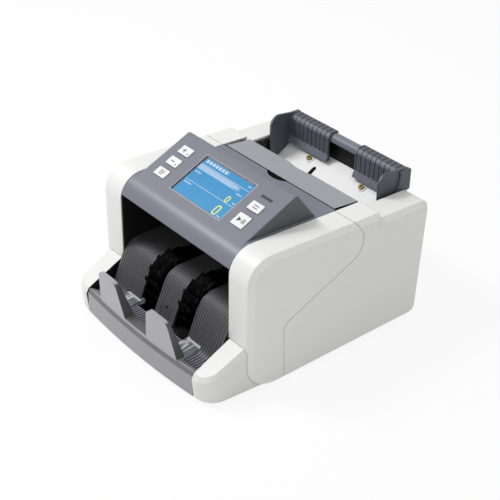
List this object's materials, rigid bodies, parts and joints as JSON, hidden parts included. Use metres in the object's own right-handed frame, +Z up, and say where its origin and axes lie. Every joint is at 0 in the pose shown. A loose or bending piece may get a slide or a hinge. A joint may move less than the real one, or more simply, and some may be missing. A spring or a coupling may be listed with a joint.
{
  "type": "banknote counting machine",
  "caption": "Desk-top banknote counting machine with a rear hopper, sliding note guides, sloping display panel with keys, paddle impellers and a front stacker tray with two prongs.",
  "frame": {"origin": "on the table, under the middle of the machine's outline", "axes": "+X to the machine's right as seen from the front, +Y to the back, +Z up; the stacker and panel face -Y"},
  "size_m": [0.266, 0.3194, 0.1911],
  "materials": {
    "cover_white": "satin off-white moulded plastic",
    "plate_grey": "satin light grey moulded plastic",
    "panel_grey": "fine-textured grey plastic",
    "flap_grey": "fine-textured lighter grey plastic",
    "guide_slate": "satin slate grey plastic",
    "stacker_dark": "satin dark grey ribbed plastic",
    "black_plastic": "black plastic",
    "hopper_white": "satin white plastic",
    "button_white": "smooth white key caps",
    "display": "lit colour display",
    "display_glass": "clear display window",
    "clear_window": "clear sensor window",
    "black_rubber": "soft black rubber",
    "grey_rubber": "dark grey roller rubber",
    "frame_black": "black powder-coated sheet steel",
    "frame_steel": "plated sheet steel",
    "steel": "ground steel",
    "motor_metal": "painted steel can",
    "circuit_board": "green circuit board",
    "brass": "bright brass"
  },
  "bodies": {
    "machine_body": {"left_front_side_cover": "cover_white", "right_front_side_cover": "cover_white", "left_rear_side_cover": "cover_white", "right_rear_side_cover": "cover_white", "left_fender": "cover_white", "right_fender": "cover_white", "front_plate": "plate_grey", "left_side_frame": "frame_black", "right_side_frame": "frame_black", "base_pan": "frame_steel", "rubber_feet": "black_rubber", "stacker_plate": "stacker_dark", "sensor_windows": "clear_window", "control_panel_housing": "panel_grey", "display_window": "display_glass", "display_module": "display", "keypad_boards": "circuit_board", "hinge_pins": "steel", "hopper_floor": "hopper_white", "hopper_screws": "brass", "hopper_back_wall": "black_plastic", "guide_rail": "panel_grey", "rail_brackets": "guide_slate", "main_motor": "motor_metal", "drive_belts": "black_rubber", "bearings": "steel", "lower_sensor_bar": "black_plastic", "upper_sensor_bar": "black_plastic", "exit_chute": "black_plastic", "tie_bars": "steel", "case_screws": "steel", "main_board": "circuit_board", "power_supply": "circuit_board", "rear_cover": "cover_white", "power_inlet": "black_plastic", "switch_housing": "black_plastic"},
    "feed_roller": {"feed_shaft": "steel", "feed_rollers": "grey_rubber", "feed_pulleys": "black_plastic"},
    "pickup_roller": {"pickup_shaft": "steel", "pickup_rollers": "grey_rubber", "pickup_pulley": "black_plastic"},
    "impeller": {"impeller_shaft": "steel", "impeller_hubs": "black_plastic", "left_impeller_petals": "black_rubber", "right_impeller_petals": "black_rubber", "impeller_pulley": "black_plastic"},
    "counter_roller": {"counter_shaft": "steel", "counter_rollers": "grey_rubber"},
    "motor_rotor": {"motor_shaft": "steel", "motor_pulley": "black_plastic"},
    "left_guide": {"left_note_guide": "guide_slate"},
    "right_guide": {"right_note_guide": "guide_slate"},
    "flap": {"service_flap": "flap_grey"},
    "rocker": {"power_rocker": "black_plastic"},
    "upper_left_button_key": {"upper_left_button": "button_white"},
    "middle_left_button_key": {"middle_left_button": "button_white"},
    "lower_left_button_key": {"lower_left_button": "button_white"},
    "upper_right_button_key": {"upper_right_button": "button_white"},
    "lower_right_button_key": {"lower_right_button": "button_white"}
  },
  "joints": [
    {"name": "feed_spin", "type": "hinge", "parent": "machine_body", "child": "feed_roller", "pos_m": [0, 0.04669, 0.084], "axis": [1, 0, 0], "continuous": true},
    {"name": "pickup_spin", "type": "hinge", "parent": "machine_body", "child": "pickup_roller", "pos_m": [0, 0.09369, 0.0975], "axis": [1, 0, 0], "continuous": true},
    {"name": "impeller_spin", "type": "hinge", "parent": "machine_body", "child": "impeller", "pos_m": [0, -0.07631, 0.049], "axis": [1, 0, 0], "continuous": true},
    {"name": "motor_spin", "type": "hinge", "parent": "machine_body", "child": "motor_rotor", "pos_m": [0, 0.09669, 0.042], "axis": [1, 0, 0], "continuous": true},
    {"name": "counter_spin", "type": "hinge", "parent": "machine_body", "child": "counter_roller", "pos_m": [0, 0.04869, 0.118], "axis": [1, 0, 0], "continuous": true},
    {"name": "left_guide_slide", "type": "slide", "parent": "machine_body", "child": "left_guide", "axis": [1, 0, 0], "range_m": [0, 0.022]},
    {"name": "right_guide_slide", "type": "slide", "parent": "machine_body", "child": "right_guide", "axis": [-1, 0, 0], "range_m": [0, 0.022]},
    {"name": "flap_hinge", "type": "hinge", "parent": "machine_body", "child": "flap", "pos_m": [0, 0.06869, 0.145], "axis": [-1, 0, 0], "range_deg": [0, 80]},
    {"name": "rocker_tilt", "type": "hinge", "parent": "machine_body", "child": "rocker", "pos_m": [-0.025, 0.14319, 0.04], "axis": [1, 0, 0], "range_deg": [-8, 8]},
    {"name": "upper_left_button_press", "type": "slide", "parent": "machine_body", "child": "upper_left_button_key", "axis": [0, 0.4083, -0.9128], "range_m": [0, 0.001], "stiffness_N_per_m": 400},
    {"name": "middle_left_button_press", "type": "slide", "parent": "machine_body", "child": "middle_left_button_key", "axis": [0, 0.4083, -0.9128], "range_m": [0, 0.001], "stiffness_N_per_m": 400},
    {"name": "lower_left_button_press", "type": "slide", "parent": "machine_body", "child": "lower_left_button_key", "axis": [0, 0.4083, -0.9128], "range_m": [0, 0.001], "stiffness_N_per_m": 400},
    {"name": "upper_right_button_press", "type": "slide", "parent": "machine_body", "child": "upper_right_button_key", "axis": [0, 0.4083, -0.9128], "range_m": [0, 0.001], "stiffness_N_per_m": 400},
    {"name": "lower_right_button_press", "type": "slide", "parent": "machine_body", "child": "lower_right_button_key", "axis": [0, 0.4083, -0.9128], "range_m": [0, 0.001], "stiffness_N_per_m": 400}
  ],
  "couplings": [
    {"joint": "feed_spin", "follows": "motor_spin", "ratio": 0.5},
    {"joint": "pickup_spin", "follows": "motor_spin", "ratio": 0.5},
    {"joint": "impeller_spin", "follows": "motor_spin", "ratio": 0.33333}
  ]
}
